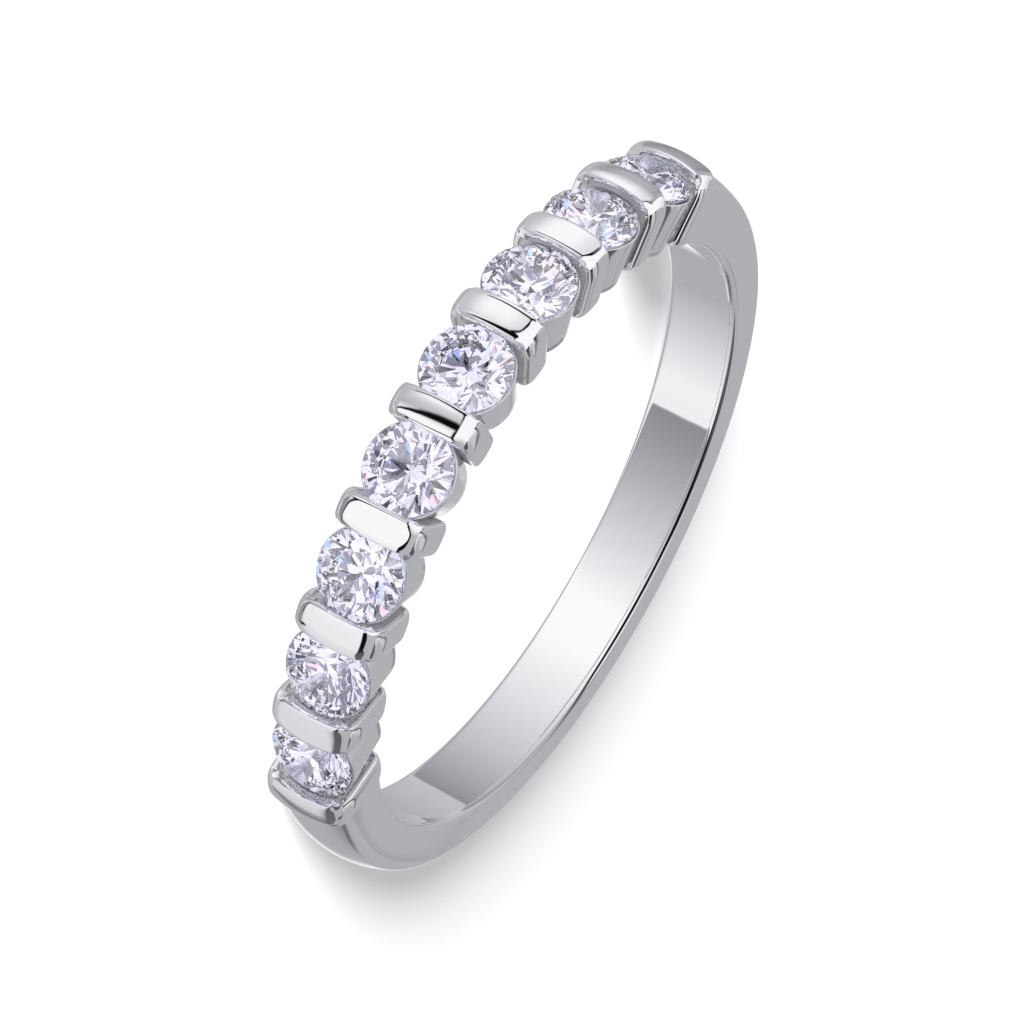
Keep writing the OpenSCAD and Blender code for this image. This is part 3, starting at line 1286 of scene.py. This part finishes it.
@dataclass
class Hood:
    """Small hood of light cards close before the row: a wall, a roof and a low ring.

    Azimuths are in degrees and heights in millimetres. The wall has the tones of `low` at
    its foot, then those of `row`, of a dark band between the (azimuth, height) points of
    `band_from` and `band_to`, and of `upper`. A seam is the width of the steps between two
    stretches of tone, and a soft size is the softness of an edge. `far` says how much a
    place belongs to the far end of the row, and the other far sizes what changes there.
    """

    radius: float = 12.6
    reach: tuple[float, float] = (-88.0, 78.0)
    foot: float = -4.2
    top: float = 4.5
    roof_in: float = 10.6
    ring_in: float = 11.2
    steps: tuple[int, int, int, int] = (553, 146, 13, 9)
    row: tuple[Fade, ...] = (
        Fade(-88, -62, 0.3, 0.42),
        Fade(-62, -56, 0.46, 0.5),
        Fade(-56, -49, 0.62, 0.95),
        Fade(-49, -20, 1.0, 1.0),
        Fade(-20, -14, 1.0, 0.7, 0.5),
        Fade(-14, -5, 1.0, 0.95),
        Fade(-5, -0.5, 0.9, 0.5),
        Fade(-0.5, 2, 0.6, 0.95),
        Fade(2, 22, 1.0, 1.0),
        Fade(22, 38, 0.95, 0.86),
        Fade(38, 49, 0.8, 0.74),
        Fade(49, 58, 0.76, 0.72),
        Fade(58, 72, 0.76, 0.62),
        Fade(72, 76, 0.46, 0.2),
        Fade(76, 78, 0.22, 0.3),
    )
    row_seam: float = 0.6
    band: tuple[Fade, ...] = (
        Fade(-88, -50, 0.5, 0.42),
        Fade(-50, -36, 0.36, 0.04),
        Fade(-36, 38, 0.005, 0.005),
        Fade(38, 60, 0.11, 0.13),
        Fade(60, 78, 0.13, 0.16),
    )
    band_seam: float = 4.0
    band_from: Pairs = (
        (-88, 1.2), (-60, 1.4), (-46, 2.4), (-38, 1.9), (-34, 1.7), (-30, 1.35), (-27, 1.1),
        (-23, 1.15), (-20.5, 1.1), (-18, 0.95), (-15, 0.6), (-12, 0.6), (-6, 0.92), (-2, 1.0),
        (2, 0.9), (6, 0.9), (9, 1.05), (12, 1.3), (15, 2.2), (17.5, 2.4), (19, 1.9), (22, 1.25),
        (30, 1.22), (37, 1.1), (40, 0.9), (48, 0.85), (57, 0.95), (72, 0.6), (78, 0.5),
    )
    band_to: Pairs = (
        (-88, 2.0), (-60, 2.4), (-46, 3.4), (-38, 2.9), (-34, 2.6), (-30, 2.1), (-27, 1.6),
        (-23, 1.45), (-20.5, 1.55), (-18, 1.2), (-15, 0.85), (-12, 0.95), (-6, 1.18), (-2, 1.14),
        (2, 1.2), (6, 1.3), (9, 1.8), (12, 2.2), (15, 3.0), (17.5, 3.15), (22, 2.9), (30, 2.5),
        (37, 2.1), (40, 3.0), (78, 3.0),
    )
    band_soft: float = 0.12
    band_haze: Ramp = Ramp(40, 10, 0.6)
    upper: tuple[Fade, ...] = (
        Fade(-88, -66, 0.7, 0.95),
        Fade(-66, 3, 1.0, 1.0),
        Fade(3, 14, 1.0, 0.55),
        Fade(14, 78, 0.5, 0.45),
    )
    upper_seam: float = 3.0
    upper_soft: float = 0.2
    low: tuple[Fade, ...] = (
        Fade(-88, -12, 0.5, 0.6),
        Fade(-12, 12, 0.55, 0.45),
        Fade(12, 45, 0.3, 0.3),
        Fade(45, 78, 0.6, 0.5),
    )
    low_seam: float = 4.0
    low_top: float = -3.0
    low_soft: float = 0.9
    far: Ramp = Ramp(2, -10)
    far_low: Ramp = Ramp(-1, -2.2, 0.45)
    far_high: Ramp = Ramp(0, 1, 0.2)
    far_top: float = 0.35
    far_soft: float = 0.9
    flags: tuple[Flag, ...] = (
        Flag(
            ((-0.6, 0.85), (-0.3, 0), (0.3, -1), (1.4, -1.9), (3.2, -2.7), (5, -3.1)), 0.42, 0.26
        ),
        Flag(((-11.3, 0.75), (-11, -0.5), (-10.3, -1.5), (-8, -2.3)), 1.4, 0.3, 0.25),
        Flag(((-26.2, 1.1), (-25.8, -0.2), (-26.6, -1.8)), 0.85, 0.42, 0.25),
        Flag(((6.4, 0.95), (7, 0.2), (8.3, -0.6), (9.7, -1.8), (10.4, -2.6)), 0.38, 0.48),
        Flag(
            ((9.5, -2.15), (13.5, -2.5), (17, -2.85), (20.5, -3.15), (28, -3.4), (36, -3.3)),
            0.3,
            0.45,
        ),
        Flag(((39.8, -2.6), (40.8, -2.9), (41.5, -3.5)), 0.3, 0.4),
    )

    def wall_tone(self, angle: Array, height: Array, upper: Array, low: Array) -> Array:
        """Tone of the wall: the row's, then the band, the upper part and the foot over it.

        Args:
            angle: azimuth of each place.
            height: height of each place.
            upper: tones of the upper part along the azimuth.
            low: tones of the foot along the azimuth.

        Returns:
            The tone at each place.
        """
        far = self.far.at(angle)
        tone = along_fades(self.row, angle, self.row_seam)
        tone = tone * (1 - far * self.far_low.at(height)) * (1 - far * self.far_high.at(height))
        band = along_fades(self.band, angle, self.band_seam)
        band_from, band_to = (
            np.interp(angle, *np.transpose(edge)) for edge in (self.band_from, self.band_to)
        )
        for start, level, soft in (
            (band_from, band, self.band_soft + self.band_haze.at(angle)),
            (band_to, upper, self.upper_soft),
            (self.low_top + self.far_top * far, low, -self.low_soft - self.far_soft * far),
        ):
            tone = mixed(tone, level, smooth((height - start) / soft + 0.5))
        for flag in self.flags:
            tone = mixed(tone, flag.tone, flag.cover(angle, height, math.radians(self.radius)))
        return tone

    def build(self) -> list[bpy.types.Object]:
        """Make the hood's three cards.

        Returns:
            The wall, the roof and the low ring.
        """
        columns, wall_rows, roof_rows, ring_rows = self.steps
        side = np.linspace(*self.reach, columns)
        upper = along_fades(self.upper, side, self.upper_seam)
        low = along_fades(self.low, side, self.low_seam)
        angle, height = np.meshgrid(side, np.linspace(self.foot, self.top, wall_rows))
        points = around(angle, self.radius, height)
        cards = [light_card("tent_wall", points, self.wall_tone(angle, height, upper, low))]
        for name, level, tone, inside, rows in (
            ("tent_roof", self.top, upper, self.roof_in, roof_rows),
            ("tent_ring", self.foot, low, self.ring_in, ring_rows),
        ):
            angle, reach = np.meshgrid(side, np.linspace(inside, self.radius, rows))
            tones = np.broadcast_to(tone, angle.shape)
            cards.append(light_card(name, around(angle, reach, level), tones))
        return cards


@dataclass(frozen=True)
class Dots:
    """Round cards of one colour, strewn over a tent; `size` is their usual radius in degrees."""

    count: int
    size: float
    colour: Colour


@dataclass
class Sparkle:
    """What the stones see through themselves: a bright lavender tent dotted with small
    dark, blue and pink cards; `spread` holds the least and the largest of their sizes, as
    shares of the usual one."""

    radius: float = 700.0
    steps: tuple[int, int] = (481, 241)
    seed: int = 7
    base: Colour = (1.16, 1.12, 1.26)
    dots: tuple[Dots, ...] = (
        Dots(46, 9.0, (0.30, 0.29, 0.37)),
        Dots(22, 8.0, (0.02, 0.02, 0.03)),
        Dots(16, 5.0, (0.55, 0.85, 1.9)),
        Dots(12, 4.0, (1.7, 0.9, 1.1)),
        Dots(10, 3.0, (3.0, 3.0, 3.2)),
    )
    spread: tuple[float, float] = (0.6, 1.3)
    soft: float = 1.5

    def build(self) -> bpy.types.Object:
        """Make the tent; each dot is a soft disc about a random direction.

        Returns:
            The tent.
        """
        columns, rows = self.steps
        angle, height = np.meshgrid(np.linspace(-180, 180, columns), np.linspace(-90, 90, rows))
        a, e = np.radians(angle), np.radians(height)
        way = np.stack([np.sin(a) * np.cos(e), -np.cos(a) * np.cos(e), np.sin(e)], -1)
        tone = np.broadcast_to(self.base, way.shape).copy()
        rng = np.random.default_rng(self.seed)
        for kind in self.dots:
            for centre in unit(rng.normal(size=(kind.count, 3))):
                reach = np.degrees(np.arccos(np.clip(way @ centre, -1, 1)))
                size = kind.size * rng.uniform(*self.spread)
                share = 1 - smooth((reach - size) / self.soft + 0.5)
                tone = mixed(tone, np.array(kind.colour), share[..., None])
        points = around(angle, self.radius * np.cos(e), self.radius * np.sin(e))
        tent = light_card("tent_sparkle", points, tone)
        tent.visible_glossy = False
        tent.visible_transmission = True
        return tent


@dataclass
class Studio:
    """Pale floor, a key light that comes from `key_from`, and even light for the floor."""

    floor_z: float
    floor_side: float = 3000.0
    floor_steps: int = 13
    floor_tone: Colour = (0.9, 0.9, 0.9)
    fill: float = 0.31
    glow: float = 0.23
    key: float = 10.0
    key_from: tuple[float, float, float] = (-0.12, -0.97, 0.208)
    key_spread: float = 15.0

    def build_floor(self) -> bpy.types.Object:
        """Make the floor under the ring, a pale sheet with a little light from below.

        Returns:
            The floor, marked as part of the stage.
        """
        values = {
            "Roughness": 0.9,
            "Specular IOR Level": 0.0,
            "Emission Color": (1.0, 1.0, 1.0, 1.0),
            "Emission Strength": self.glow,
        }
        mat, _ = new_finish("pale_floor", self.floor_tone, values)
        mat.cycles.emission_sampling = "NONE"
        side = np.linspace(-self.floor_side, self.floor_side, self.floor_steps)
        x, y = np.meshgrid(side, side)
        floor = sheet("floor", np.stack([x, y, np.full_like(x, self.floor_z)], -1), mat)
        floor.visible_glossy = floor.visible_transmission = False
        floor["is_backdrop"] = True
        return floor

    def build_key(
        self, floor: bpy.types.Object, blockers: Sequence[bpy.types.Object]
    ) -> bpy.types.Object:
        """Make the key light, which throws the blockers' soft shadow on the floor.

        Args:
            floor: the only thing that the light falls on.
            blockers: pieces whose shadow it throws.

        Returns:
            The light.
        """
        data = bpy.data.lights.new("key", "SUN")
        data.energy = self.key
        data.angle = math.radians(self.key_spread)
        lamp = bpy.data.objects.new("key", data)
        lamp.rotation_euler = Vector(self.key_from).to_track_quat("Z", "Y").to_euler()
        lamp.visible_glossy = lamp.visible_transmission = False
        shadows = bpy.data.collections.new("key_shadows")
        for piece in blockers:
            shadows.objects.link(piece)
        lamp.light_linking.blocker_collection = shadows
        lit = bpy.data.collections.new("key_lit")
        lit.objects.link(floor)
        lamp.light_linking.receiver_collection = lit
        bpy.context.scene.collection.objects.link(lamp)
        return lamp

    def build_fill(self) -> None:
        """Light the floor evenly from all round."""
        world = bpy.data.worlds.new("studio")
        bpy.context.scene.world = world
        world.use_nodes = True
        back = world.node_tree.nodes["Background"]
        back.inputs["Color"].default_value = (self.fill, self.fill, self.fill, 1)
        bpy.context.scene.view_settings.view_transform = "Standard"


def box_as_list(bounds: tuple[Vector, Vector]) -> list[list[float]]:
    """Turn a box's corners into plain lists of numbers.

    Args:
        bounds: lowest and highest corner.

    Returns:
        The two corners.
    """
    return [list(corner) for corner in bounds]


def place_piece(piece: bpy.types.Object, node: str) -> None:
    """Tie a piece to the CAD part and report it.

    Args:
        piece: the piece.
        node: the CAD node that it stands for.
    """
    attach(piece, "root")
    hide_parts(node)
    LOG.info("%s: %d faces", piece.name, len(piece.data.polygons))


def build_ring(sizes: RingSizes) -> bpy.types.Object:
    """Build the metal ring, piece by piece, and its stones.

    Args:
        sizes: sizes of the ring.

    Returns:
        The shank.
    """
    polished = PolishedMetal().build()
    soft_polish = PolishedMetal("cup_white_metal", roughness=0.1, haze=0.14).build()
    satin_cut = CutPanel().build()
    grained_cut = CutPanel(
        "grained_white_metal",
        tone=(0.92, 0.925, 0.94),
        metallic=0.4,
        roughness=0.3,
        grain_scale=9000.0,
        grain_depth=0.00006,
    ).build()
    clear = CutStone().build()
    shank = Shank(sizes).build(polished, soft_polish)
    place_piece(shank, "ring_band")
    for i in range(1, sizes.stone_count + 2):
        end = i in (1, sizes.stone_count + 1)
        bar = Bar(sizes, i, foot_w=sizes.band_w) if end else Bar(sizes, i)
        panel = grained_cut if i in GRAINED_BARS else satin_cut
        place_piece(bar.build(polished, panel), "ring_band")
    for i in range(1, sizes.stone_count + 1):
        place_piece(Cup(sizes, i).build(soft_polish), "ring_band")
    for i in range(1, sizes.stone_count + 1):
        place_piece(Brilliant(sizes, i).build(clear), f"stone_{i}")
    return shank


def main() -> None:
    """Build the ring round its frame, then the studio."""
    logging.basicConfig(level=logging.INFO, format="%(name)s: %(message)s")
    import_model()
    cad_box = box_as_list(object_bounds())
    Viewpoint().build()
    shank = build_ring(RingSizes())
    studio = Studio(floor_z=cad_box[0][2] / MM)
    floor = studio.build_floor()
    studio.build_key(floor, [shank])
    studio.build_fill()
    Dome().build()
    Hood().build()
    Sparkle().build()
    cycles = bpy.context.scene.cycles
    cycles.max_bounces = LIGHT_TURNS
    cycles.transmission_bounces = CLEAR_TURNS
    cycles.glossy_bounces = CLEAR_TURNS


if __name__ == "__main__":
    main()
